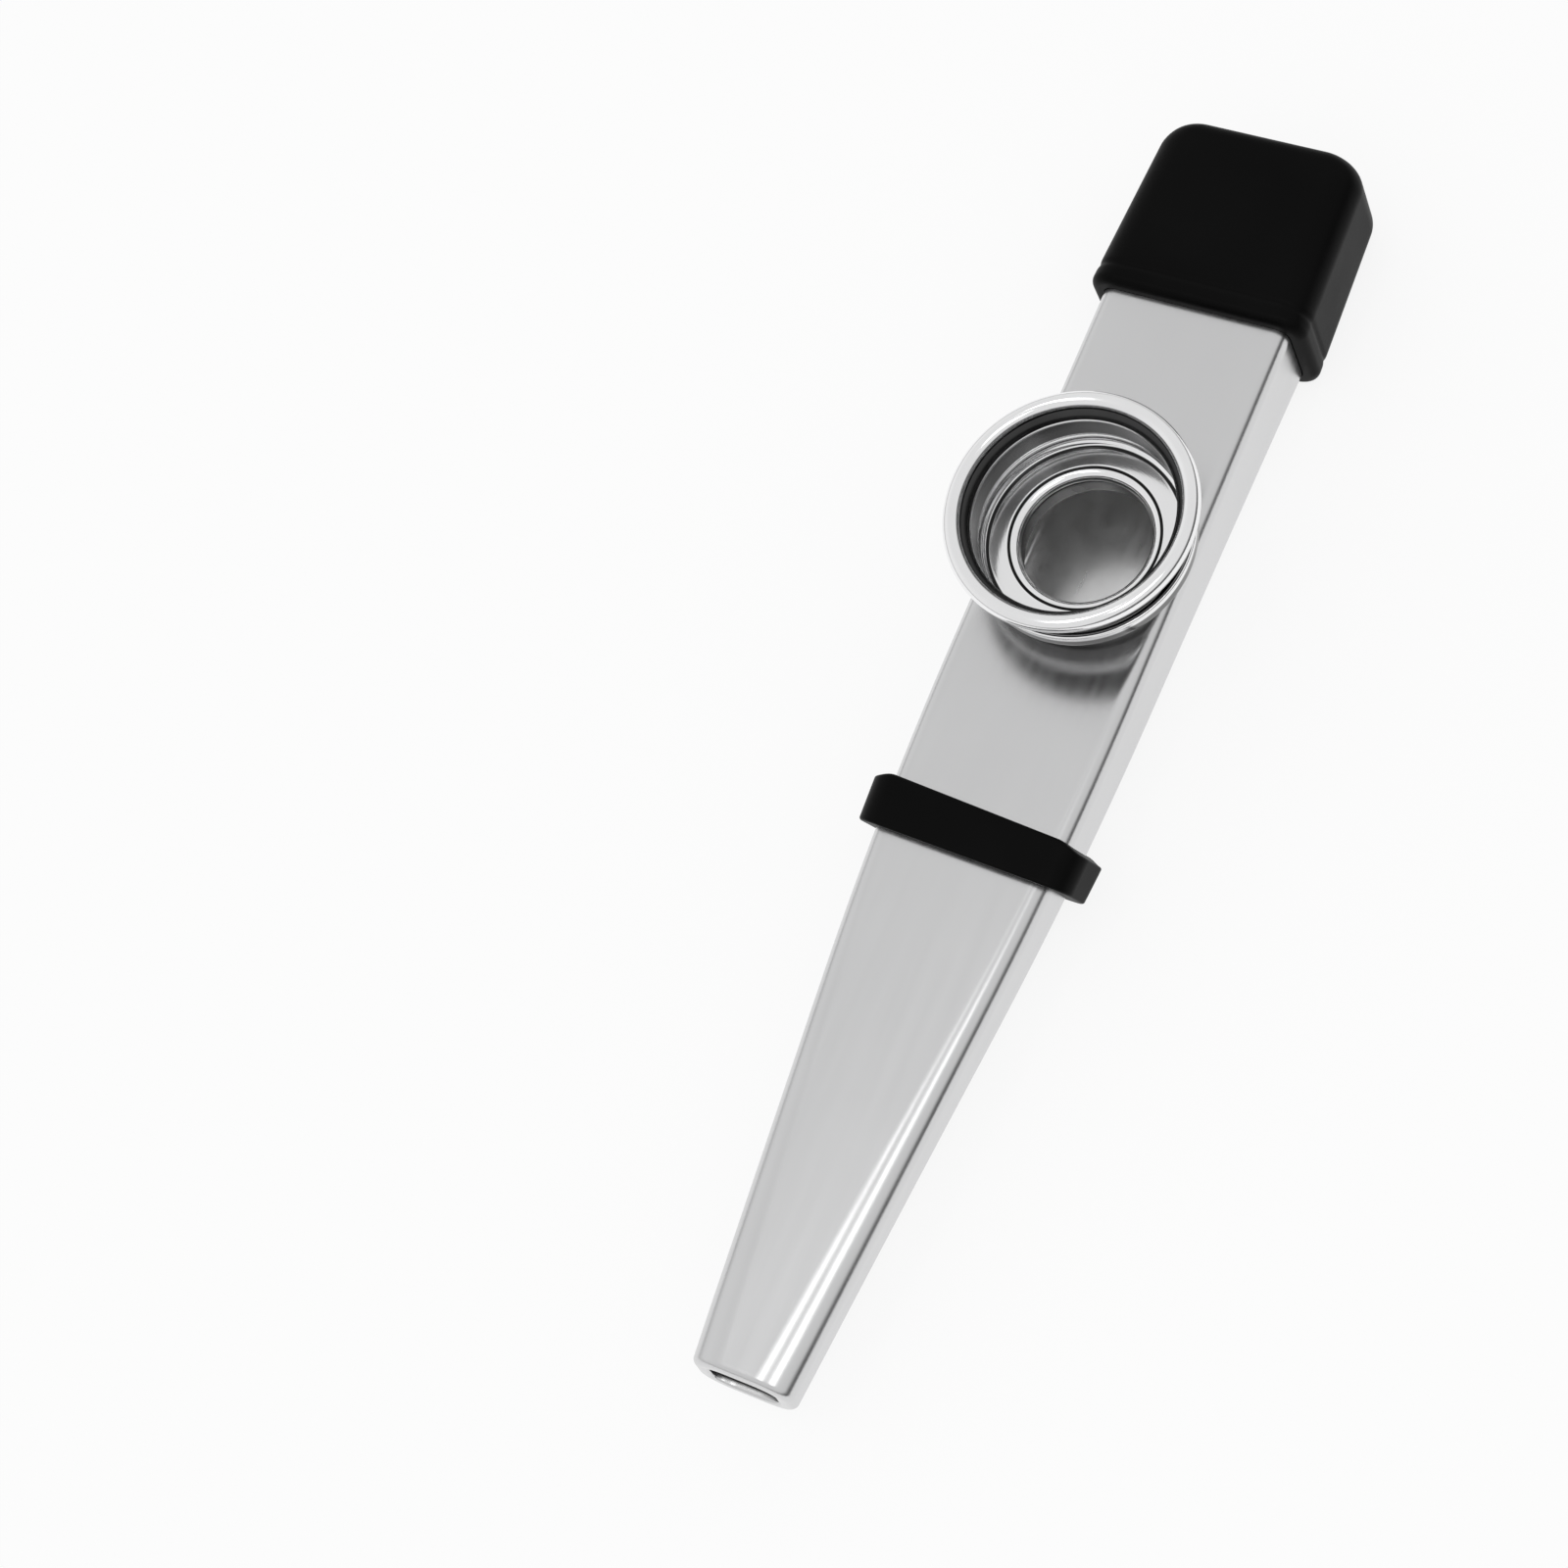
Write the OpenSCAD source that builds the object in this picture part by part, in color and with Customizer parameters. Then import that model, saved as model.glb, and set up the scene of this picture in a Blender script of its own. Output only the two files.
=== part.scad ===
// Kazoo: a tapered metal tube, a turret that clamps a membrane over a hole in the tube,
// a rubber cap on the mouth end and a rubber band round the waist.
// Lengths are in millimetres. The turret points up (+Z) and the mouth towards +Y.
// Inside the modules, station 0 is the narrow end and height 0 is the tube's flat top.

/* [Tube] */
// Length of the metal tube
tube_l = 124; // [110:0.1:140]
// Width of the tube at the mouth
tube_w = 18.8; // [17.8:0.1:22]
// Height of the tube at the mouth
tube_h = 9.5; // [8:0.1:14]
// Width of the narrow end
end_w = 9.9; // [8:0.1:14]
// Height of the narrow end
end_h = 5.6; // [5:0.1:7.5]
// Wall of the tube
tube_t = 0.8; // [0.6:0.05:1]
// Corner radius at the mouth
corner_r = 1.5; // [1.1:0.1:2.4]
// Corner radius at the narrow end
end_corner_r = 2.1; // [1.5:0.1:2.3]
// Station where the sides start to close in towards the narrow end
taper_l = 70; // [60:0.5:70.5]
// Share of the taper over which the sides curve in
curve_share = 0.48; // [0.1:0.01:0.6]
// Radius of the turned edge at the narrow end
lip_r = 0.7; // [0.3:0.05:0.8]
// Depth by which that edge closes in on the bore
lip_in = 0.4; // [0.1:0.05:0.6]

/* [Mouth cap] */
// Length of tube that the cap covers
sleeve_l = 16.6; // [10:0.1:24]
// Thickness of the cap at its skirt
cap_t = 1.5; // [1:0.1:2.5]
// Thickness of the cap's sides and top at the mouth
cap_tip_t = 0.7; // [0.5:0.1:1]
// Thickness of the lip over the tube's end
cap_lip_t = 2.2; // [1:0.1:3]
// Corner radius of the cap
cap_corner_r = 2.8; // [2.2:0.1:3.4]
// Corner radius of the cap's opening
cap_bore_r = 1.5; // [0.8:0.1:1.8]
// Rounding of the cap's mouth edge
cap_round = 1.4; // [0.5:0.1:1.5]
// Rounding of the cap's mouth corners, seen from above
cap_plan_r = 3; // [1.5:0.1:3.4]
// Depth by which the cap's lip reaches over the bore on either side
cap_lip_in = 2.1; // [1.8:0.1:3]
// Rounding of the cap's skirt edge
cap_edge_r = 0.4; // [0.1:0.1:0.8]

/* [Band] */
// Station of the middle of the band
band_s = 53.3; // [45:0.1:64]
// Width of the band
band_w = 5; // [3:0.5:8]
// Thickness of the band
band_t = 1.1; // [0.6:0.1:2]
// Thickness of the band where it bulges at the sides
band_side_t = 1.8; // [0.8:0.1:2.4]
// Rounding of the band's edges
band_edge_r = 0.3; // [0.1:0.1:0.5]

/* [Turret collar] */
// Station of the turret's axis
turret_s = 82; // [78:0.1:90]
// Inner radius of the neck through the tube's top wall
neck_r = 6.4; // [5:0.1:6.5]
// Thickness of the collar's wall
collar_t = 0.3; // [0.25:0.05:0.4]
// Thickness of the floor that the membrane lies on
seat_t = 0.9; // [0.5:0.1:1.2]
// Height of the collar above the tube
collar_h = 4; // [3.8:0.1:4.4]
// Radius of the bead on the collar's edge
bead_r = 0.25; // [0.2:0.05:0.3]
// Width of the flare that holds the neck under the wall
flare_w = 0.8; // [0.4:0.1:0.9]

/* [Turret ring] */
// Bore of the turret cup, as a radius
cup_r = 9.45; // [9.2:0.05:10]
// Thickness of the ring's sheet
ring_t = 0.35; // [0.3:0.05:0.45]
// Radius of the hole over the membrane
hole_r = 6.1; // [4.5:0.1:6.3]
// Radius of the curl round the hole
hole_curl_r = 0.8; // [0.6:0.05:0.9]
// Fillet between the cup's floor and wall
cup_fillet_r = 0.6; // [0.3:0.05:0.8]
// Height of the turret's rim above the tube
rim_z = 9.05; // [8:0.05:12]
// Outer radius of the rim
rim_r = 11.78; // [11.5:0.02:13]
// Radius of the rolled bead of the rim
roll_r = 0.85; // [0.7:0.05:0.9]

/* [Thread] */
// Rise of the thread in one turn
pitch = 1.3; // [1.2:0.05:1.5]
// Height of the thread's ridges
ridge_h = 0.25; // [0.15:0.05:0.3]
// Width of a ridge at its foot
ridge_foot = 0.44; // [0.4:0.02:0.5]
// Width of a ridge at its crest
ridge_crest = 0.2; // [0.14:0.02:0.24]
// Turns of the ridge on the ring
ring_turns = 1; // [0.8:0.05:1.1]

/* [Membrane] */
// Outer radius of the membrane
membrane_r = 9; // [8.8:0.05:9.05]
// Opening of the membrane's frame, as a radius
frame_open_r = 7.1; // [6.9:0.05:7.5]
// Thickness of the membrane's frame
frame_t = 1; // [0.8:0.05:1.1]
// Thickness of the film
film_t = 0.1; // [0.05:0.01:0.15]

/* [Clearances] */
// Gap between the rubber pieces and the tube
rubber_gap = 0.08; // [0.05:0.01:0.2]
// Gap round the neck in the tube's hole
neck_gap = 0.05; // [0.02:0.01:0.1]
// Gap between the thread's ridges and the walls that they face
thread_gap = 0.06; // [0.05:0.01:0.08]
// Gap between the flank that holds the ring down and the ring's ridge
flank_gap = 0.06; // [0.04:0.01:0.08]
// Gap round the membrane in its seat
seat_gap = 0.15; // [0.1:0.05:0.3]
// Gap under the ring's floor
clamp_gap = 0.05; // [0.02:0.01:0.1]

/* [Hidden] */

// Counts and angles
round_fn = 96;
corner_n = 5;
loft_n = 20;
edge_n = 4;
mouth_n = 7;
thread_step = 10;
full_turn = 360;
quarter = 90;

// Overrun of every cut past the faces that it opens
over = 0.5;
// Depth by which a ridge is rooted in its wall
root = ring_t / 2;

// The whole part
overall_l = tube_l + cap_lip_t;
rest_z = tube_h + cap_t;
full_s = tube_l - sleeve_l;
lip_end = 3 * lip_r;

// Stack of the turret, upwards from the tube's flat top
film_z = seat_t;
frame_z = film_z + film_t;
floor_z = frame_z + frame_t + clamp_gap;
floor_top = floor_z + ring_t;
wall_z = floor_top + cup_fillet_r;
step_z = frame_z + frame_t - clamp_gap;
roll_z = rim_z - roll_r;
bend_z = rim_z - 2 * roll_r + ring_t / 2;

// Radii of the turret, outwards
neck_out_r = neck_r + collar_t;
seat_r = membrane_r + seat_gap;
cup_out_r = cup_r + ring_t;
ridge_r = cup_out_r + ridge_h;
socket_r = ridge_r + thread_gap;
socket_out_r = socket_r + collar_t;
roll_c = rim_r - roll_r;

// Height of a ridge's middle where the ridge starts: the collar's lies over the ring's
ring_ridge_z = wall_z - (cup_fillet_r + ring_t - ridge_foot) / 2;
collar_ridge_z = ring_ridge_z + (ridge_foot + ridge_crest) / 2 + flank_gap;
collar_turns = (collar_h - bead_r - collar_ridge_z) / pitch;

// Sizes of the tube at a station
function taper_at(s) =
    let (t = max(0, 1 - s / taper_l), b = curve_share)
    (t < b ? t * t / (2 * b) : t - b / 2) / (1 - b / 2);
function width_at(s) = tube_w - (tube_w - end_w) * taper_at(s);
function height_at(s) = end_h + (tube_h - end_h) * pow(min(1, max(0, s) / full_s), 2);
function corner_at(s) = corner_r + (end_corner_r - corner_r) * taper_at(s);

// A rounded rectangle at a station, as points that run round the tube from the top right;
// out is how far it lies outside the tube's surface, and drop is how much more below it
function outline(s, w, h, r, top) =
    let (corners = [[w / 2 - r, top - r, 0], [r - w / 2, top - r, 1],
                    [r - w / 2, top - h + r, 2], [w / 2 - r, top - h + r, 3]])
    [for (c = corners) for (i = [0 : corner_n])
        let (a = quarter * (c[2] + i / corner_n))
        [c[0] + r * cos(a), s, c[1] + r * sin(a)]];
function tube_outline(s, out) =
    outline(s, width_at(s) + 2 * out, height_at(s) + 2 * out, corner_at(s) + out, out);

// A solid through rings of points, each with as many points as the first
module loft(rings) {
    n = len(rings[0]);
    m = len(rings);
    points = [for (ring = rings) for (p = ring) p];
    sides = [for (j = [0 : m - 2]) for (i = [0 : n - 1])
        let (a = j * n + i, b = j * n + (i + 1) % n)
        each [[a, b, b + n], [a, b + n, a + n]]];
    first = [for (i = [n - 1 : -1 : 0]) i];
    last = [for (i = [0 : n - 1]) (m - 1) * n + i];
    polyhedron(points = points, faces = concat(sides, [first, last]));
}

// Stations that are evenly spaced from a to b
function steps(a, b, n) = [for (i = [0 : n]) a + (b - a) * i / n];

// Angles of the points on a rounded edge, without its last
function edge_angles() = [for (i = [0 : edge_n - 1]) quarter * i / edge_n];

// Part frame: the middle of the length at y = 0, the cap's underside at z = 0
module place() {
    translate([0, -overall_l / 2, rest_z]) children();
}
module place_turret() {
    place() translate([0, turret_s, 0]) children();
}

// One ridge of the thread, rooted in a wall: side is 1 outwards and -1 inwards
module ridge(foot_r, side, start_z, turns) {
    n = round(full_turn * turns / thread_step);
    foot = foot_r - side * root;
    crest = foot_r + side * ridge_h;
    rings = [for (i = [0 : n])
        let (a = full_turn * turns * i / n, z = start_z + pitch * turns * i / n)
        [for (p = [[foot, -ridge_foot / 2], [crest, -ridge_crest / 2],
                   [crest, ridge_crest / 2], [foot, ridge_foot / 2]])
            [p[0] * cos(a), p[0] * sin(a), z + p[1]]]];
    loft(side > 0 ? rings : [for (ring = rings) [for (i = [len(ring) - 1 : -1 : 0]) ring[i]]]);
}

// A rectangle of a turned profile, from radius r0 to r1 and height z0 to z1
module bar(r0, r1, z0, z1) {
    translate([r0, z0]) square([r1 - r0, z1 - z0]);
}

// A quarter of a ring of sheet in a turned profile: its outer radius, its thickness,
// and the quadrant that it lies in, as signs
module quarter_curl(c, r, t, quadrant) {
    intersection() {
        translate(c) difference() {
            circle(r, $fn = round_fn);
            circle(r - t, $fn = round_fn);
        }
        translate([quadrant[0] > 0 ? c[0] : c[0] - r, quadrant[1] > 0 ? c[1] : c[1] - r])
            square(r);
    }
}

// Drawn tube with rounded corners: open at both ends, its underside rising and its sides
// closing in towards the narrow end, with one round hole in its top under the turret
module tube() {
    stations = steps(lip_end, full_s, loft_n);
    outer = concat(
        [for (a = edge_angles()) let (s = lip_r * (1 - cos(a)))
            tube_outline(s, -lip_r * (1 - sin(a)))],
        [tube_outline(lip_r, 0)],
        [for (s = stations) tube_outline(s, 0)],
        [tube_outline(tube_l, 0)]);
    inner = concat(
        [for (s = [-over, lip_r]) tube_outline(s, -tube_t - lip_in)],
        [for (s = stations) tube_outline(s, -tube_t)],
        [tube_outline(tube_l + over, -tube_t)]);
    color("silver") place() difference() {
        loft(outer);
        loft(inner);
        translate([0, turret_s, -tube_t - over])
            cylinder(r = neck_out_r + neck_gap, h = tube_t + 2 * over, $fn = round_fn);
    }
}

// Turned collar: a flared neck through the tube's top, the membrane's seat,
// a threaded socket and a bead round its edge
module turret_collar() {
    color("silver") place_turret() {
        rotate_extrude($fn = round_fn) {
            bar(neck_r, neck_out_r, -tube_t - neck_gap - collar_t, seat_t);
            bar(neck_r, neck_out_r + flare_w, -tube_t - neck_gap - collar_t, -tube_t - neck_gap);
            bar(neck_r, seat_r + collar_t, 0, seat_t);
            bar(seat_r, seat_r + collar_t, 0, step_z);
            bar(seat_r, socket_out_r, step_z - collar_t, step_z);
            bar(socket_r, socket_out_r, step_z - collar_t, collar_h - bead_r);
            translate([socket_r + bead_r, collar_h - bead_r]) circle(bead_r, $fn = round_fn);
        }
        ridge(socket_r, -1, collar_ridge_z, collar_turns);
    }
}

// Pressed ring that screws into the collar: a curled hole over the membrane, a flat floor,
// the wall of the cup with its thread outside, and a rolled rim
module turret_ring() {
    curl_c = [hole_r + hole_curl_r, floor_top - hole_curl_r];
    color("silver") place_turret() {
        rotate_extrude($fn = round_fn) {
            quarter_curl(curl_c, hole_curl_r, ring_t, [-1, 1]);
            bar(curl_c[0], cup_r - cup_fillet_r, floor_z, floor_top);
            quarter_curl([cup_r - cup_fillet_r, wall_z], cup_fillet_r + ring_t, ring_t, [1, -1]);
            bar(cup_r, cup_out_r, wall_z, bend_z);
            polygon([[cup_r, bend_z], [cup_out_r, bend_z],
                     [roll_c - roll_r + ring_t, roll_z], [roll_c - roll_r, roll_z]]);
            difference() {
                translate([roll_c, roll_z]) circle(roll_r, $fn = round_fn);
                translate([roll_c, roll_z]) circle(roll_r - ring_t, $fn = round_fn);
                bar(roll_c - roll_r, roll_c - roll_r + ring_t, roll_z - roll_r, roll_z - ring_t / 2);
            }
        }
        ridge(cup_out_r, 1, ring_ridge_z, ring_turns);
    }
}

// Stiff ring that the film is glued to
module membrane_frame() {
    color("white") place_turret() translate([0, 0, frame_z]) difference() {
        cylinder(r = membrane_r, h = frame_t, $fn = round_fn);
        translate([0, 0, -over]) cylinder(r = frame_open_r, h = frame_t + 2 * over, $fn = round_fn);
    }
}

// Film that buzzes
module membrane_film() {
    color("gainsboro") place_turret() translate([0, 0, film_z])
        cylinder(r = membrane_r, h = film_t, $fn = round_fn);
}

// Rubber cap: a sleeve over the tube's mouth end, with an open lip and a flat underside
module mouth_cap() {
    skirt_s = full_s;
    end_s = overall_l;
    function wall_at(s) = cap_t + (cap_tip_t - cap_t) * (s - skirt_s) / (end_s - skirt_s);
    function cap_outline(s, inset, side_inset) =
        let (t = wall_at(s))
        outline(s, tube_w + 2 * (t - side_inset), tube_h + t + cap_t - 2 * inset,
                cap_corner_r - inset, t - inset);
    // How far a rounding of radius r has closed in at a station near the mouth
    function round_at(s, r) = r - sqrt(r * r - pow(max(0, s - end_s + r), 2));
    outer = concat(
        [for (a = edge_angles()) let (d = cap_edge_r * (1 - sin(a)))
            cap_outline(skirt_s + cap_edge_r * (1 - cos(a)), d, d)],
        [cap_outline(skirt_s + cap_edge_r, 0, 0)],
        [for (i = [0 : mouth_n]) let (s = end_s - cap_plan_r * (1 - sin(quarter * i / mouth_n)))
            cap_outline(s, round_at(s, cap_round), round_at(s, cap_plan_r))]);
    color("#262626") place() difference() {
        loft(outer);
        loft([for (s = [skirt_s - over, skirt_s, tube_l]) tube_outline(s, rubber_gap)]);
        loft([for (s = [tube_l - over, end_s + over])
            outline(s, tube_w - 2 * (tube_t + cap_lip_in), tube_h - 2 * tube_t, cap_bore_r, -tube_t)]);
    }
}

// Rubber band stretched round the waist
module band() {
    first_s = band_s - band_w / 2;
    last_s = band_s + band_w / 2;
    function band_outline(s, inset) =
        let (t = band_t - inset)
        outline(s, width_at(s) + 2 * (band_side_t - inset), height_at(s) + 2 * t, corner_at(s) + t, t);
    outer = concat(
        [for (a = edge_angles())
            band_outline(first_s + band_edge_r * (1 - cos(a)), band_edge_r * (1 - sin(a)))],
        [for (s = steps(first_s + band_edge_r, last_s - band_edge_r, edge_n)) band_outline(s, 0)],
        [for (a = edge_angles())
            band_outline(last_s - band_edge_r * (1 - sin(a + quarter / edge_n)),
                         band_edge_r * (1 - cos(a + quarter / edge_n)))]);
    inner = [for (s = steps(first_s - over, last_s + over, edge_n)) tube_outline(s, rubber_gap)];
    color("#1a1a1a") place() difference() {
        loft(outer);
        loft(inner);
    }
}

tube();
turret_collar();
turret_ring();
membrane_frame();
membrane_film();
mouth_cap();
band();
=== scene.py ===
"""Looks of the kazoo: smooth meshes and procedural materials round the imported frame.

Lengths in the shape functions are millimetres in the tube's own frame: x is across, the
station s runs from the narrow end at 0 towards the mouth, and height 0 is the tube's flat
top. place() turns them into the row's metres. The turret's turned profiles are in radius
and height."""
import math

import bpy
import bmesh
import numpy as np
from mathutils import Matrix, Vector

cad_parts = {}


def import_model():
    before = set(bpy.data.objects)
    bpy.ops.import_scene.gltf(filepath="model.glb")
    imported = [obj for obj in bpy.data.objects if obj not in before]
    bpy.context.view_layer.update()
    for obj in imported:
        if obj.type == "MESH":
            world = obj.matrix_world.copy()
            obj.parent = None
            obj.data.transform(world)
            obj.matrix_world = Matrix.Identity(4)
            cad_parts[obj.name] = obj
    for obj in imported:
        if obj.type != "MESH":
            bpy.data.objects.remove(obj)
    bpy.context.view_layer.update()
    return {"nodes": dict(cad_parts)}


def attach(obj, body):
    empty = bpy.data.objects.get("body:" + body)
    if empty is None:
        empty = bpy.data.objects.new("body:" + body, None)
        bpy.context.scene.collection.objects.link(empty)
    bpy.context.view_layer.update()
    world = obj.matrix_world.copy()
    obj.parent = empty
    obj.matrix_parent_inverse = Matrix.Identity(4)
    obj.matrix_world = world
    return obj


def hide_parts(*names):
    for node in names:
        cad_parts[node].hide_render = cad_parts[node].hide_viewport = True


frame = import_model()

# tube, as in the source
TUBE_L, TUBE_W, TUBE_H, TUBE_T = 124.0, 18.8, 9.5, 0.8
END_W, END_H, CORNER_R, END_CORNER_R = 9.9, 5.6, 1.5, 2.1
TAPER_L, CURVE = 70.0, 0.48
LIP_R, LIP_IN = 0.7, 0.4
# tube, here alone: slant of the narrow end and its reach along the tube, how much wider than
# high the end's corners are, how much wider its lip is at its sides, and where its painted shade
# ends
END_SLANT, SLANT_L, CORNER_WIDE, LIP_SIDE = 0.8, 9, 1.3, 0.5
PAINTED_SHADE_END, PAINTED_SHADE_FADE = 9, 5

# cap, as in the source; its skirt's rounding and crease (height, station, width) are not
SLEEVE_L, CAP_T, CAP_TIP_T, CAP_LIP_T = 16.6, 1.5, 0.7, 2.2
CAP_CORNER_R, CAP_BORE_R, CAP_ROUND, CAP_PLAN_R, CAP_LIP_IN = 2.8, 1.5, 1.4, 3.0, 2.1
CAP_SKIRT_R, CREASE_H, CREASE_S, CREASE_W = 0.9, 0.12, 2.1, 0.3

# band, as in the source
BAND_S, BAND_W, BAND_T, BAND_SIDE_T, BAND_EDGE_R = 53.3, 5.0, 1.1, 1.8, 0.3
# band, here alone: skew and tilt, how much narrower it is in its middle, towards its right
# and at its sides, and where its sides begin
BAND_SKEW, BAND_TILT = 0.032, 0.18
BAND_SLIM, BAND_WEDGE, SIDE_SLIM, SIDE_X, SIDE_FADE = 0.28, 0.03, 0.6, 8.4, 2.4

# turret, as in the source: first the ring, then the collar and the film
TURRET_S = 82.0
CUP_R, WALL_R, RING_T, FLOOR_Z, UNDER_Z = 9.45, 9.8, 0.35, 2.4, 2.05
CURL_R0, CURL_Z, CURL_R = 6.9, 1.6, 0.8
FILLET_R0, FILLET_Z, FILLET_R = 8.85, 3.0, 0.6
ROLL_R0, ROLL_Z, ROLL_R = 10.93, 8.2, 0.85
PITCH, RIDGE_H, RIDGE_Z, RIDGE_TURNS = 1.3, 0.25, 2.745, 1.0
COLLAR_T, FOOT_R, NECK_R, SOCKET_R = 0.3, 9.15, 6.4, 10.11
SEAT_Z, STEP_Z, EDGE_Z, BEAD_R, COLLAR_RIDGE_Z = 0.9, 1.95, 3.75, 0.25, 3.125
FRAME_OPEN_R, MEMBRANE_R, FILM_T = 7.1, 9.0, 0.1
# turret, here alone: the throat's curve, which starts at the wall's top, with its height
# inside and outside; the thread's depth in the cup's inside, its ridges' half widths and the
# turns of the collar's; fine grooves in the cup's wall, each a height, a depth and a half width
WALL_TOP, THROAT_OUT, THROAT_H, THROAT_BACK_H = 7.3, 0.63, 0.9, 0.82
INSIDE_H, RIDGE_HALF, COLLAR_RIDGE_HALF, COLLAR_TURNS = 0.2, 0.46, 0.3, 0.45
LINES = ((4.17, 0.18, 0.3), (7.15, 0.12, 0.18))

# clearances, as in the source, and lengths that follow from the sizes above
RUBBER_GAP, NECK_GAP = 0.08, 0.05
OVERALL_L = TUBE_L + CAP_LIP_T
REST_Z = TUBE_H + CAP_T
FULL_S = TUBE_L - SLEEVE_L
MM = 0.001


def place(points):
    """Millimetres in the tube's frame to metres in the row's frame."""
    return (np.asarray(points, float) + [0, -OVERALL_L / 2, REST_Z]) * MM


# meshes
SHARP = math.radians(35)
CORNER_STEPS = 16
# where a section's straight edges have points, close together at their ends
EDGE_SHARES = (0.02, 0.06, 0.14, 0.26, 0.4, 0.5, 0.6, 0.74, 0.86, 0.94, 0.98)


def mesh_object(name, verts, faces):
    mesh = bpy.data.meshes.new(name)
    mesh.from_pydata([tuple(v) for v in verts], [], faces)
    bm = bmesh.new()
    bm.from_mesh(mesh)
    bmesh.ops.recalc_face_normals(bm, faces=bm.faces)
    bm.to_mesh(mesh)
    bm.free()
    smooth(mesh)
    obj = bpy.data.objects.new(name, mesh)
    bpy.context.scene.collection.objects.link(obj)
    return obj


def smooth(mesh):
    mesh.shade_smooth()
    mesh.set_sharp_from_angle(angle=SHARP)


def loop_faces(m, n):
    """Quads of m rings with n points each, closed round the points and round the rings."""
    faces = []
    for j in range(m):
        for i in range(n):
            a, b = j * n + i, j * n + (i + 1) % n
            c, d = ((j + 1) % m) * n + (i + 1) % n, ((j + 1) % m) * n + i
            faces.append((a, b, c, d))
    return faces


def loft_object(name, rings):
    verts = np.concatenate([np.array(ring) for ring in rings])
    return mesh_object(name, place(verts), loop_faces(len(rings), len(rings[0])))


def revolve(name, profile, n=288, shift=None):
    """A closed turned profile round the turret's axis, which shift may move by angle."""
    prof = np.array(profile, float)
    verts = []
    for i in range(n):
        a = 2 * math.pi * i / n
        p = prof if shift is None else shift(prof.copy(), a)
        r, z = p[:, 0], p[:, 1]
        verts.append(np.stack([r * math.cos(a), TURRET_S + r * math.sin(a), z], 1))
    return mesh_object(name, place(np.concatenate(verts)), loop_faces(n, len(prof)))


def arc(cx, cy, r, a0, a1, n):
    """Points on an arc, angles in degrees."""
    angles = [math.radians(a0 + (a1 - a0) * i / n) for i in range(n + 1)]
    return [(cx + r * math.cos(a), cy + r * math.sin(a)) for a in angles]


def line(p, q, n):
    return [(p[0] + (q[0] - p[0]) * i / n, p[1] + (q[1] - p[1]) * i / n) for i in range(n + 1)]


def path(*runs):
    """Joins runs of points, leaving out repeats."""
    out = []
    for run in runs:
        for p in run:
            if not out or math.dist(p, out[-1]) > 1e-6:
                out.append(p)
    if math.dist(out[0], out[-1]) < 1e-6:
        out.pop()
    return out


def smooth01(x):
    x = np.clip(x, 0, 1)
    return x * x * (3 - 2 * x)


def ridge(z, at, half, steep):
    """Height, 0 to 1, of a rounded ridge at height at; steep over 1 gives it a flat crest."""
    return smooth01(steep * (1 - np.abs(z - at) / half))


def thread_bump(z, angle, start, turns, half):
    """Height, 0 to 1, of a helical ridge at height z and an angle in radians."""
    run_in, steep = 0.08, 1.25
    total = 0.0
    for k in (-1, 0, 1, 2):
        turn = angle / (2 * math.pi) + k
        fade = smooth01(turn / run_in) * smooth01((turns - turn) / run_in)
        total = total + fade * ridge(z, start + PITCH * turn, half, steep)
    return np.clip(total, 0, 1)


def section(s, w, h, r, top, wide=0.0):
    """A rounded rectangle at station s, with dense points on its corners and their ends;
    wide makes its corners that much wider than they are high."""
    rx = r + wide
    corners = ((w / 2 - rx, top - r), (rx - w / 2, top - r),
               (rx - w / 2, top - h + r), (w / 2 - rx, top - h + r))
    pts = []
    for quarter, (cx, cz) in enumerate(corners):
        for i in range(CORNER_STEPS + 1):
            a = math.pi / 2 * (quarter + i / CORNER_STEPS)
            pts.append(np.array((cx + rx * math.cos(a), s, cz + r * math.sin(a))))
    out = []
    for k, p in enumerate(pts):
        out.append(p)
        if (k + 1) % (CORNER_STEPS + 1) == 0:
            step = pts[(k + 1) % len(pts)] - p
            out += [p + step * t for t in EDGE_SHARES]
    return out


# the tube's size at a station
def taper_at(s):
    """1 at the narrow end, 0 from the end of the taper on."""
    t = max(0.0, 1 - s / TAPER_L)
    return (t * t / (2 * CURVE) if t < CURVE else t - CURVE / 2) / (1 - CURVE / 2)


def width_at(s):
    return TUBE_W - (TUBE_W - END_W) * taper_at(s)


def height_at(s):
    return END_H + (TUBE_H - END_H) * min(1.0, max(0.0, s) / FULL_S) ** 2


def corner_at(s):
    return CORNER_R + (END_CORNER_R - CORNER_R) * taper_at(s)


def tube_section(s, out, side=0.0):
    """The tube's section, moved out, with its sides moved in again by side."""
    h = height_at(s)
    ring = section(s, width_at(s) + 2 * (out - side), h + 2 * out, corner_at(s) + out, out,
                   CORNER_WIDE * taper_at(s))
    # the narrow end is cut at a slant: its underside reaches further out than its top
    slant = END_SLANT * max(0.0, 1 - max(0.0, s) / SLANT_L) ** 2
    return [p + [0, slant * (1 + p[2] / h), 0] for p in ring]


def depth_in_wall(x, s, z):
    """How far a point lies inside the tube's outer skin."""
    half_w, half_h, rz = width_at(s) / 2, height_at(s) / 2, corner_at(s)
    rx = rz + CORNER_WIDE * taper_at(s)
    z = abs(z + half_h)
    if x > half_w - rx and z > half_h - rz:
        return rz * (1 - math.hypot((x - half_w + rx) / rx, (z - half_h + rz) / rz))
    return min(half_w - x, half_h - z)


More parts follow.
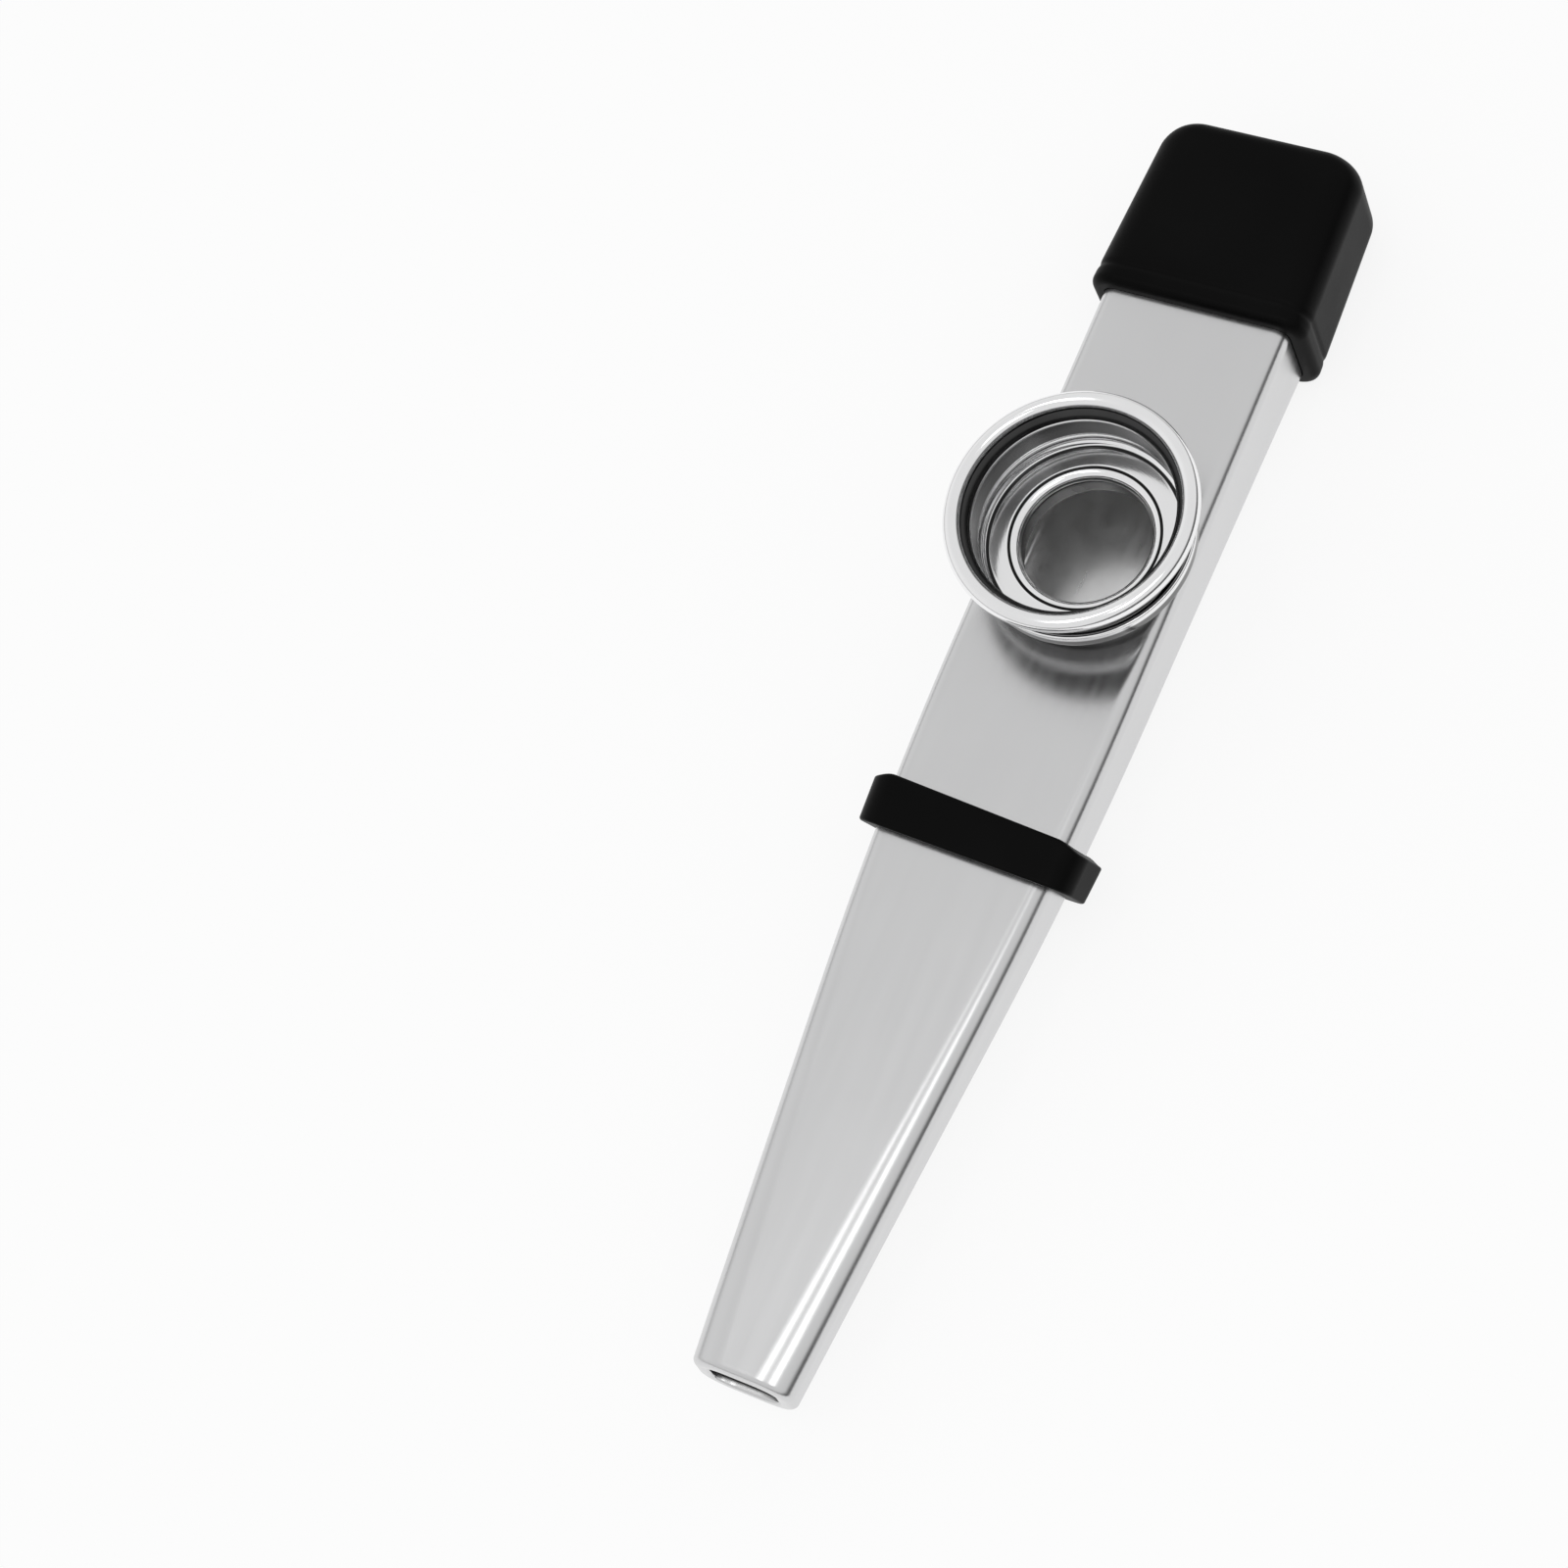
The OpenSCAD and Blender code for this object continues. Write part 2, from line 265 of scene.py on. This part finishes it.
# pieces
def make_tube():
    # (station, out) along the wall's section: outer skin to the narrow end, its turned lip,
    # and back inside to the mouth
    outer = [(s, 0.0) for s in np.concatenate([
        np.linspace(TUBE_L, TAPER_L, 28), np.linspace(68.5, 2.2, 50), np.linspace(2.0, LIP_R, 6)])]
    lip = arc(LIP_R, -LIP_R, LIP_R, 90, 180, 8)
    edge_r = 0.25
    inner_lip = arc(edge_r, -TUBE_T - LIP_IN + edge_r, edge_r, 180, 270, 5)
    turn = []
    for s in np.linspace(LIP_R, 3 * LIP_R, 7):
        share = min(1, (s - LIP_R) / (2 * LIP_R))
        turn.append((s, -TUBE_T - LIP_IN * (0.5 + 0.5 * math.cos(math.pi * share))))
    inner = [(s, -TUBE_T) for s in np.concatenate([
        np.linspace(2.3, 68.5, 34), np.linspace(TAPER_L, TUBE_L, 20)])]

    def side_lip(s, out):
        # the turned edge is wider at its sides, from its front on and for 4 mm inwards
        return LIP_SIDE * max(0.0, min(1.0, (-out - LIP_R) / 0.5)) * max(0.0, 1 - s / 4)

    wall = path(outer, lip, inner_lip, turn, inner)
    tube = loft_object("kazoo_tube", [tube_section(s, out, side_lip(s, out)) for s, out in wall])
    cut_hole(tube, NECK_R + COLLAR_T + NECK_GAP)
    mark_inside(tube)
    return tube


def cut_hole(tube, r, n=128):
    """Cuts the round hole that the collar's neck goes through."""
    under, over = -2.0, 1.0
    angles = [2 * math.pi * i / n for i in range(n)]
    ring = [(r * math.cos(a), TURRET_S + r * math.sin(a)) for a in angles]
    verts = [(x, y, z) for z in (under, over) for x, y in ring]
    faces = [(i, (i + 1) % n, n + (i + 1) % n, n + i) for i in range(n)]
    faces += [tuple(range(n - 1, -1, -1)), tuple(range(n, 2 * n))]
    cutter = mesh_object("cutter", place(verts), faces)
    cut = tube.modifiers.new("hole", "BOOLEAN")
    cut.operation, cut.solver, cut.object = "DIFFERENCE", "EXACT", cutter
    whole = tube.evaluated_get(bpy.context.evaluated_depsgraph_get())
    mesh = bpy.data.meshes.new_from_object(whole)
    tube.modifiers.clear()
    tube.data = mesh
    bpy.data.objects.remove(cutter)
    smooth(tube.data)


def mark_inside(tube):
    """For its material, marks the tube's inside with 1, and with up to 2 where its narrow end gets
    painted shade.
    """
    mark = tube.data.attributes.new("inner", "FLOAT", "POINT")
    for vert, value in zip(tube.data.vertices, mark.data):
        x, s, z = abs(vert.co.x) / MM, vert.co.y / MM + OVERALL_L / 2, vert.co.z / MM - REST_Z
        behind_lip = s - END_SLANT * (1 + z / END_H) > LIP_R / 2
        if behind_lip and depth_in_wall(x, s, z) > TUBE_T / 2:
            value.value = 1 + min(1.0, max(0.0, (PAINTED_SHADE_END - s) / PAINTED_SHADE_FADE))


def cap_section(s, inset, side):
    t = CAP_T + (CAP_TIP_T - CAP_T) * (s - FULL_S) / (OVERALL_L - FULL_S)
    return section(s, TUBE_W + 2 * (t - side), TUBE_H + t + CAP_T - 2 * inset,
                   CAP_CORNER_R - inset, t - inset)


def round_at(s, r):
    """How far a rounding of radius r has closed in at a station near the mouth."""
    return r - math.sqrt(max(0.0, r * r - max(0.0, s - OVERALL_L + r) ** 2))


def make_cap():
    e = CAP_SKIRT_R
    rings = [cap_section(s, e - d, e - d) for s, d in arc(FULL_S + e, 0, e, 180, 90, 8)]
    # a shallow crease where the skirt was rolled
    for s in np.linspace(FULL_S + e + 0.15, FULL_S + 3.4, 14):
        crease = CREASE_H * math.exp(-((s - FULL_S - CREASE_S) / CREASE_W) ** 2)
        rings.append(cap_section(s, crease, crease))
    rings += [cap_section(s, 0, 0)
              for s in np.linspace(FULL_S + 3.8, OVERALL_L - CAP_PLAN_R - 0.3, 14)]
    for i in range(25):
        s = OVERALL_L - CAP_PLAN_R * (1 - math.sin(math.pi / 2 * i / 24))
        rings.append(cap_section(s, round_at(s, CAP_ROUND), round_at(s, CAP_PLAN_R)))
    # the mouth's opening, then the sleeve's inside
    rings += [section(s, TUBE_W - 2 * (TUBE_T + CAP_LIP_IN), TUBE_H - 2 * TUBE_T,
                      CAP_BORE_R, -TUBE_T) for s in np.linspace(OVERALL_L, TUBE_L, 6)]
    rings += [tube_section(s, RUBBER_GAP) for s in np.linspace(TUBE_L, FULL_S, 12)]
    return loft_object("kazoo_mouth_cap", rings)


def make_band():
    a, b, e = BAND_S - BAND_W / 2, BAND_S + BAND_W / 2, BAND_EDGE_R

    def band_section(s, inset):
        return tube_section(s, BAND_T - inset, BAND_T - BAND_SIDE_T)

    def lean(p):
        # it sits askew, its underside nearer the mouth and its sides drawn narrower, as it
        # was pushed on by hand
        share = (p[1] - a) / BAND_W
        at_side = smooth01((abs(p[0]) - SIDE_X) / SIDE_FADE)
        slim = BAND_SLIM + BAND_WEDGE * p[0] + SIDE_SLIM * at_side
        return p - [0, BAND_SKEW * p[0] + BAND_TILT * p[2] + share * slim, 0]

    rings = [band_section(s, e - d) for s, d in arc(a + e, 0, e, 180, 90, 5)]
    rings += [band_section(s, 0) for s in np.linspace(a + e + 0.2, b - e - 0.2, 14)]
    rings += [band_section(s, e - d) for s, d in arc(b - e, 0, e, 90, 0, 5)]
    rings += [tube_section(s, RUBBER_GAP) for s in np.linspace(b, a, 10)]
    return loft_object("kazoo_band", [[lean(p) for p in ring] for ring in rings])


def make_ring():
    """The loose cup: curled hole with a groove round it, floor, fillet, threaded wall with
    its fine grooves, widening throat and rolled rim, and back outside."""
    groove_r0, groove_z, groove_r, floor_r0 = 7.08, 2.43, 0.14, 7.25
    rim_end, throat_power = -125, 2.2
    inside = path(arc(CURL_R0, CURL_Z, CURL_R, 180, 92, 16),
                  arc(groove_r0, groove_z, groove_r, 195, 345, 8),
                  line((floor_r0, FLOOR_Z), (FILLET_R0, FLOOR_Z), 10),
                  arc(FILLET_R0, FILLET_Z, FILLET_R, -90, 0, 12),
                  line((CUP_R, FILLET_Z), (CUP_R, WALL_TOP), 90))
    throat = [(CUP_R + THROAT_OUT * t ** throat_power, WALL_TOP + THROAT_H * t)
              for t in np.linspace(0.1, 1, 12)]
    rim = arc(ROLL_R0, ROLL_Z, ROLL_R, 180, rim_end, 60)
    rim_inside = arc(ROLL_R0, ROLL_Z, ROLL_R - RING_T, rim_end, 172, 28)
    back = [(WALL_R + THROAT_OUT * t ** throat_power, WALL_TOP + THROAT_BACK_H * t)
            for t in np.linspace(1, 0.1, 10)]
    outside = path(line((WALL_R, WALL_TOP), (WALL_R, FILLET_Z), 38),
                   arc(FILLET_R0, FILLET_Z, FILLET_R + RING_T, 0, -90, 12),
                   line((FILLET_R0, UNDER_Z), (CURL_R0, UNDER_Z), 8),
                   arc(CURL_R0, CURL_Z, CURL_R - RING_T, 90, 180, 8))
    profile = path(inside, throat, rim, rim_inside, back, outside)
    is_in = np.arange(len(profile)) < len(inside)

    def shift(p, angle):
        r, z = p[:, 0], p[:, 1]
        wall = (r > CUP_R - 0.15) & (r < WALL_R + 0.1)
        thread = (np.where(is_in, INSIDE_H, RIDGE_H)
                  * thread_bump(z, angle, RIDGE_Z, RIDGE_TURNS, RIDGE_HALF))
        fine = sum(deep * ridge(z, at, half, 1.2) for at, deep, half in LINES)
        p[:, 0] = (r + np.where(wall & (z > 2.6) & (z < 6), thread, 0)
                   + np.where(wall & is_in & (z > 3.1) & (z < WALL_TOP), fine, 0))
        return p

    return revolve("kazoo_turret_ring", profile, shift=shift)


def make_collar():
    """The fixed base: a foot round the membrane's seat, a wider socket with a thread ridge
    and a beaded edge, and a neck through the tube's hole, flared under the tube's wall."""
    t, foot, neck, socket = COLLAR_T, FOOT_R, NECK_R, SOCKET_R
    shoulder_z, shoulder_h, step_r, seat_r = 1.3, 0.75, 0.1, 0.15
    flare_z, flare_r, flare_tip, grip_z = -1.2, 0.2, neck + t + 0.7, -0.85
    shoulder = [(foot + t + (socket - foot) * smooth01(u), shoulder_z + shoulder_h * u)
                for u in np.linspace(0, 1, 14)]
    outside = path(line((foot + t, 0), (foot + t, shoulder_z), 6), shoulder,
                   line((socket + t, shoulder_z + shoulder_h), (socket + t, 3.4), 8),
                   arc(socket + BEAD_R, EDGE_Z, BEAD_R, -35, 180, 24))
    inside = path(line((socket, EDGE_Z), (socket, STEP_Z + step_r), 30),
                  arc(socket - step_r, STEP_Z + step_r, step_r, 0, -90, 4),
                  line((socket - step_r, STEP_Z), (foot + step_r, STEP_Z), 4),
                  arc(foot + step_r, STEP_Z - step_r, step_r, 90, 180, 4),
                  line((foot, STEP_Z - step_r), (foot, SEAT_Z), 6),
                  line((foot, SEAT_Z), (neck + seat_r, SEAT_Z), 8),
                  arc(neck + seat_r, SEAT_Z - seat_r, seat_r, 90, 180, 4),
                  line((neck, SEAT_Z - seat_r), (neck, flare_z + flare_r), 8),
                  arc(neck + flare_r, flare_z + flare_r, flare_r, 180, 270, 4),
                  line((neck + flare_r, flare_z), (flare_tip, flare_z), 4),
                  arc(flare_tip - 0.05, flare_z + 0.15, 0.15, -90, 45, 5),
                  line((flare_tip, grip_z - 0.03), (neck + t, grip_z), 3),
                  line((neck + t, grip_z), (neck + t, 0), 4),
                  line((neck + t, 0), (foot + t, 0), 6))

    def shift(p, angle):
        z = p[:, 1]
        wall = (np.abs(p[:, 0] - socket) < 1e-3) & (z > 2.2) & (z < EDGE_Z + 0.01)
        thread = thread_bump(z, angle, COLLAR_RIDGE_Z, COLLAR_TURNS, COLLAR_RIDGE_HALF)
        p[:, 0] -= np.where(wall, RIDGE_H * thread, 0)
        return p

    return revolve("kazoo_turret_collar", path(outside, inside), shift=shift)


def make_film():
    """The film, drawn in a little between its frame's inner edge and its middle."""
    sag, top = 0.15, SEAT_Z + FILM_T
    radii = np.concatenate([np.linspace(0.05, FRAME_OPEN_R, 40),
                            np.linspace(FRAME_OPEN_R + 0.2, MEMBRANE_R, 8)])
    drop = np.where(radii < FRAME_OPEN_R, -sag * (1 - (radii / FRAME_OPEN_R) ** 2), 0)
    upper = [(r, top + d) for r, d in zip(radii, drop)]
    lower = [(r, top - FILM_T + d) for r, d in zip(radii, drop)][::-1]
    return revolve("kazoo_membrane_film", upper + lower, n=160)


# nodes
def nodes_of(name):
    mat = bpy.data.materials.new(name)
    mat.use_nodes = True
    tree = mat.node_tree
    bsdf = next(n for n in tree.nodes if n.type == "BSDF_PRINCIPLED")
    return mat, tree, bsdf


def feed(tree, socket, source):
    """Links another node's result to a socket, or gives it a plain value."""
    if isinstance(source, bpy.types.NodeSocket):
        tree.links.new(source, socket)
    else:
        socket.default_value = source


def add(tree, kind, **values):
    """A new node, with values for its settings or, by name, its sockets."""
    node = tree.nodes.new(kind)
    for key, value in values.items():
        if hasattr(node, key):
            setattr(node, key, value)
        else:
            feed(tree, node.inputs[key], value)
    return node


def calc(tree, operation, *sources, kind="ShaderNodeMath"):
    node = add(tree, kind, operation=operation)
    for socket, source in zip(node.inputs, sources):
        feed(tree, socket, source)
    return node.outputs["Value" if kind == "ShaderNodeMath" or operation == "LENGTH" else "Vector"]


def noise(tree, scale, detail, roughness=0.5, stretch=(1, 1, 1)):
    """Noise on the object's own metres, stretched per axis."""
    coord = add(tree, "ShaderNodeTexCoord").outputs["Object"]
    where = add(tree, "ShaderNodeMapping", Vector=coord, Scale=stretch).outputs["Vector"]
    return add(tree, "ShaderNodeTexNoise", Vector=where, Scale=scale, Detail=detail,
               Roughness=roughness).outputs["Fac"]


def spread(tree, fac, low, high, lo=0.3, hi=0.7):
    """Low to high as fac goes from lo to hi."""
    node = add(tree, "ShaderNodeMapRange", Value=fac)
    for key, value in (("From Min", lo), ("From Max", hi), ("To Min", low), ("To Max", high)):
        node.inputs[key].default_value = value
    return node.outputs["Result"]


def blend(tree, fac, low, high, colour=True):
    """Low to high by fac, each another node's result or a plain value."""
    node = add(tree, "ShaderNodeMix", data_type="RGBA" if colour else "FLOAT")
    # a Mix node keeps its colour sockets behind those for numbers and vectors
    first, result = (6, 2) if colour else (2, 0)
    for index, source in ((0, fac), (first, low), (first + 1, high)):
        feed(tree, node.inputs[index], source)
    return node.outputs[result]


def tint(tree, fac, dark, light):
    """A colour from dark to light by fac, each a grey or a red, green and blue."""
    dark, light = ((*c, 1) if isinstance(c, tuple) else (c, c, c, 1) for c in (dark, light))
    return blend(tree, fac, dark, light)


def bump(tree, bsdf, height, strength, distance):
    node = add(tree, "ShaderNodeBump", Height=height, Strength=strength, Distance=distance)
    tree.links.new(node.outputs["Normal"], bsdf.inputs["Normal"])


def any_ray(tree, *kinds):
    """1 for a ray that is of any of these kinds."""
    rays = tree.nodes.new("ShaderNodeLightPath")
    total = rays.outputs[kinds[0]]
    for kind in kinds[1:]:
        total = calc(tree, "MAXIMUM", total, rays.outputs[kind])
    return total


def mix_shaders(tree, fac, first, second):
    node = tree.nodes.new("ShaderNodeMixShader")
    for socket, source in zip(node.inputs, (fac, first, second)):
        tree.links.new(source, socket)
    return node.outputs[0]


# materials
def tube_metal():
    """Satin aluminium with a faint drawn grain along the tube and soft cloudiness; its
    inside is less smooth and paler as painted light, and dark behind the narrow end's lip as
    painted shade."""
    mat, tree, bsdf = nodes_of("satin_aluminium")
    cloud = noise(tree, 60, 3)
    grain = noise(tree, 900, 4, 0.6, (1, 0.04, 1))
    mark = add(tree, "ShaderNodeAttribute", attribute_name="inner").outputs["Fac"]
    inner, painted_deep_shade = spread(tree, mark, 0, 1, 0, 1), spread(tree, mark, 0, 1, 1, 2)
    skin = tint(tree, cloud, (0.63, 0.63, 0.635), (0.69, 0.69, 0.695))
    # the paler inside is painted light, and the darkest tone is painted shade at the narrow end
    pale = tint(tree, cloud, 0.92, 0.98)
    deep_shade_colour = tint(tree, cloud, 0.05, 0.16)
    colour = blend(tree, painted_deep_shade, blend(tree, inner, skin, pale), deep_shade_colour)
    rough = blend(tree, inner, spread(tree, grain, 0.21, 0.27), spread(tree, grain, 0.27, 0.33),
                  colour=False)
    bsdf.inputs["Metallic"].default_value = 1.0
    tree.links.new(colour, bsdf.inputs["Base Color"])
    tree.links.new(rough, bsdf.inputs["Roughness"])
    bump(tree, bsdf, grain, 0.03, 0.0001)
    return mat


def turret_place(tree):
    """Distance from the turret's axis and height over the tube, in metres."""
    coord = add(tree, "ShaderNodeTexCoord").outputs["Object"]
    foot = tuple(place((0, TURRET_S, 0)))
    local = calc(tree, "SUBTRACT", coord, foot, kind="ShaderNodeVectorMath")
    flat = calc(tree, "MULTIPLY", local, (1, 1, 0), kind="ShaderNodeVectorMath")
    radius = calc(tree, "LENGTH", flat, kind="ShaderNodeVectorMath")
    return radius, add(tree, "ShaderNodeSeparateXYZ", Vector=local).outputs["Z"]


def box_mask(tree, radius, height, boxes, soft=0.1):
    """1 in any of the boxes, each two radii and two heights round the turret's axis in mm."""
    whole = None
    for r0, r1, z0, z1 in boxes:
        total = None
        for source, low, high, edge in ((radius, 0, 1, r0), (radius, 1, 0, r1),
                                        (height, 0, 1, z0), (height, 1, 0, z1)):
            part = spread(tree, source, low, high, (edge - soft) * MM, (edge + soft) * MM)
            total = part if total is None else calc(tree, "MULTIPLY", total, part)
        whole = total if whole is None else calc(tree, "MAXIMUM", whole, total)
    return whole


def turret_metal(name, painted_shade_boxes, painted_half_shade, painted_deep_shade):
    """Polished aluminium with handling haze and faint turned lines, and painted shade: very dark
    and rougher in its recesses, dark on its outside and darkest in its grooves. Each of these
    is a tuple of boxes."""
    mat, tree, bsdf = nodes_of(name)
    haze = noise(tree, 220, 4)
    radius, height = turret_place(tree)
    clean = tint(tree, haze, (0.86, 0.86, 0.865), (0.93, 0.93, 0.935))
    # the three darker tones below are painted shade: half shade, shade and deep shade
    half_shade_colour = tint(tree, haze, 0.13, 0.21)
    shade_colour = tint(tree, haze, 0.03, 0.075)
    deep_shade_colour = tint(tree, haze, 0.01, 0.03)
    painted_shade_mask = box_mask(tree, radius, height, painted_shade_boxes)
    colour = blend(tree, box_mask(tree, radius, height, painted_half_shade), clean, half_shade_colour)
    colour = blend(tree, painted_shade_mask, colour, shade_colour)
    colour = blend(tree, box_mask(tree, radius, height, painted_deep_shade, 0.03), colour, deep_shade_colour)
    rough = blend(tree, painted_shade_mask, spread(tree, haze, 0.09, 0.15), spread(tree, haze, 0.20, 0.28),
                  colour=False)
    bsdf.inputs["Metallic"].default_value = 1.0
    tree.links.new(colour, bsdf.inputs["Base Color"])
    tree.links.new(rough, bsdf.inputs["Roughness"])
    lines = add(tree, "ShaderNodeTexNoise", noise_dimensions="1D", W=radius, Scale=9000)
    bump(tree, bsdf, lines.outputs["Fac"], 0.04, 0.00003)
    return mat


def rubber():
    """Black rubber: dark, slightly glossy, with a fine matte grain."""
    mat, tree, bsdf = nodes_of("black_rubber")
    dust = noise(tree, 70, 4)
    tree.links.new(tint(tree, dust, 0.0004, 0.004), bsdf.inputs["Base Color"])
    tree.links.new(spread(tree, dust, 0.36, 0.46), bsdf.inputs["Roughness"])
    bsdf.inputs["Specular IOR Level"].default_value = 0.05
    bump(tree, bsdf, noise(tree, 2500, 3), 0.12, 0.00004)
    return mat


def film_plastic():
    """Thin clear film, a little cloudy, that shows the inside of the tube."""
    mat, tree, bsdf = nodes_of("membrane_film")
    cloud = noise(tree, 500, 3)
    tree.links.new(tint(tree, cloud, 0.55, 0.75), bsdf.inputs["Base Color"])
    tree.links.new(spread(tree, cloud, 0.14, 0.18), bsdf.inputs["Roughness"])
    tree.links.new(spread(tree, cloud, 0.02, 0.05), bsdf.inputs["Alpha"])
    return mat


def card():
    """White card with a fine fibre."""
    mat, tree, bsdf = nodes_of("frame_card")
    fibre = noise(tree, 1800, 5, 0.65)
    colour = tint(tree, fibre, (0.80, 0.80, 0.79), (0.90, 0.90, 0.89))
    tree.links.new(colour, bsdf.inputs["Base Color"])
    bsdf.inputs["Roughness"].default_value = 0.8
    bump(tree, bsdf, fibre, 0.2, 0.00003)
    return mat


def floor_paint(white_share):
    """Pale paint, with white mixed in for the rays that see the background."""
    mat, tree, bsdf = nodes_of("floor")
    tree.links.new(tint(tree, noise(tree, 8, 2), 0.90, 0.92), bsdf.inputs["Base Color"])
    bsdf.inputs["Roughness"].default_value = 0.9
    bsdf.inputs["Specular IOR Level"].default_value = 0.1
    seen = any_ray(tree, "Is Camera Ray", "Is Transmission Ray", "Is Glossy Ray")
    white = add(tree, "ShaderNodeEmission").outputs[0]
    mixed = mix_shaders(tree, calc(tree, "MULTIPLY", seen, white_share), bsdf.outputs[0], white)
    out = next(n for n in tree.nodes if n.type == "OUTPUT_MATERIAL")
    tree.links.new(mixed, out.inputs["Surface"])
    return mat


def paint(obj, mat):
    obj.data.materials.clear()
    obj.data.materials.append(mat)


low_z, high_z = LINES[0][0], LINES[1][0]
ring_metal = turret_metal(
    "polished_aluminium",
    # painted shade on the cup's wall below, between and above its fine grooves, its throat, under
    # its rim
    painted_shade_boxes=((9.2, 9.8, 3.2, low_z - 0.33), (9.2, 9.8, low_z + 0.38, high_z - 0.22),
               (9.2, 9.8, high_z + 0.03, 8.55), (9.6, 10.2, 7.35, 8.55), (10.4, 12.0, 6.0, 7.7)),
    # painted half shade on the wall's outside and the lower half of the rim's
    painted_half_shade=((9.75, 12.0, 2.2, 7.85), (11.2, 12.0, 7.0, 8.15)),
    # painted deep shade in the groove round the hole and at the foot of the fillet
    painted_deep_shade=((6.93, 7.2, 2.2, 2.6), (8.9, 9.21, 2.37, 2.58)))
collar_metal = turret_metal(
    "polished_collar",
    # painted shade on its neck and seat, painted half shade on its outside,
    # and painted deep shade below its beaded edge
    painted_shade_boxes=((-1.0, 9.3, -3.0, 2.15),),
    painted_half_shade=((9.3, 12.0, -3.0, 2.9),),
    painted_deep_shade=((10.2, 12.0, 3.35, 3.5),))
tube_mat, black = tube_metal(), rubber()

for make, mat, node, body, slot in (
        (make_tube, tube_mat, "tube", "body", "tube_metal"),
        (make_collar, collar_metal, "turret_collar", "body", "turret_metal"),
        (make_ring, ring_metal, "turret_ring", "ring", "turret_metal"),
        (make_film, film_plastic(), "membrane_film", "membrane", "film"),
        (make_cap, black, "mouth_cap", "cap", "black_rubber"),
        (make_band, black, "band", "band", "black_rubber")):
    piece = make()
    paint(piece, mat)
    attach(piece, body)
    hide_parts(node)

frame_card = card()
for slot in frame["nodes"]["membrane_frame"].material_slots:
    slot.material = frame_card

# floor and light, in metres
bpy.ops.mesh.primitive_plane_add(size=3.0, location=(0, 0, 0))
floor = bpy.context.object
floor.name = "floor"
paint(floor, floor_paint(white_share=0.85))

# strength of the room in reflections, how much brighter its left end is, how much higher
# the dark along its horizon reaches on the right, and the light on everything else
ROOM, GLOW, DARK_RIGHT, SOFT = 0.8, 1.1, 0.22, 0.82


def world():
    """White to the camera; in reflections a pale room with a horizon that is grey on the
    left and dark on the right; an even light for everything else."""
    room = bpy.data.worlds.new("room")
    bpy.context.scene.world = room
    room.use_nodes = True
    tree = room.node_tree
    tree.nodes.clear()
    coord = add(tree, "ShaderNodeTexCoord").outputs["Generated"]
    sep = add(tree, "ShaderNodeSeparateXYZ", Vector=coord)
    across, up = sep.outputs["X"], sep.outputs["Z"]
    # where the horizon's dark begins, its grey, its fade upwards, and the bright left end
    lift = spread(tree, across, 0.0, DARK_RIGHT, 0.3, 0.75)
    low = spread(tree, across, 0.45, 0.10, -0.3, 0.2)
    rise = spread(tree, calc(tree, "SUBTRACT", up, lift), 0.0, 1.0, 0.06, 0.26)
    horizon = blend(tree, rise, low, ROOM, colour=False)
    window = spread(tree, across, GLOW, 1.0, -0.85, -0.5)

    def background(strength):
        node = add(tree, "ShaderNodeBackground", Color=(1, 1, 1, 1), Strength=strength)
        return node.outputs[0]

    reflected = background(calc(tree, "MULTIPLY", horizon, window))
    unseen = mix_shaders(tree, any_ray(tree, "Is Glossy Ray"), background(SOFT), reflected)
    seen = any_ray(tree, "Is Camera Ray", "Is Transmission Ray")
    out = tree.nodes.new("ShaderNodeOutputWorld")
    tree.links.new(mix_shaders(tree, seen, unseen, background(1.0)), out.inputs["Surface"])


def softbox(name, x_range):
    """A level softbox over the object, facing down."""
    y_range, height, radiance = (-0.36, 0.10), 1.116, 2.4
    light = bpy.data.lights.new(name, "AREA")
    light.shape = "RECTANGLE"
    light.size, light.size_y = x_range[1] - x_range[0], y_range[1] - y_range[0]
    light.energy = radiance * math.pi * light.size * light.size_y
    obj = bpy.data.objects.new(name, light)
    bpy.context.scene.collection.objects.link(obj)
    obj.location = (sum(x_range) / 2, sum(y_range) / 2, height)


world()
softbox("right_box", (0.24, 0.46))
softbox("left_box", (-0.26, -0.10))

# camera, fitted in millimetres: its turn (x right, y down, z ahead), where the fitted
# frame's origin lies before it, and the station of that origin
FIT_TURN = Vector((2.740305, 0.510498, -0.523983))
FIT_ORIGIN = Vector((-4.26321, 51.06896, 304.84726))
FIT_STATION = 0.6
rot = Matrix.Rotation(FIT_TURN.length, 3, FIT_TURN.normalized())
centre = -(rot.transposed() @ FIT_ORIGIN)
camera_data = bpy.data.cameras.new("camera")
camera_data.sensor_width = 36
camera_data.lens = 81.49
camera_data.clip_start, camera_data.clip_end = 0.01, 10
camera = bpy.data.objects.new("camera", camera_data)
bpy.context.scene.collection.objects.link(camera)
bpy.context.scene.camera = camera
camera.rotation_mode = "QUATERNION"
camera.rotation_quaternion = Matrix((rot[0], -rot[1], -rot[2])).transposed().to_quaternion()
camera.location = (centre + Vector((0, FIT_STATION - OVERALL_L / 2, REST_Z))) * MM

bpy.context.scene.view_settings.view_transform = "Standard"
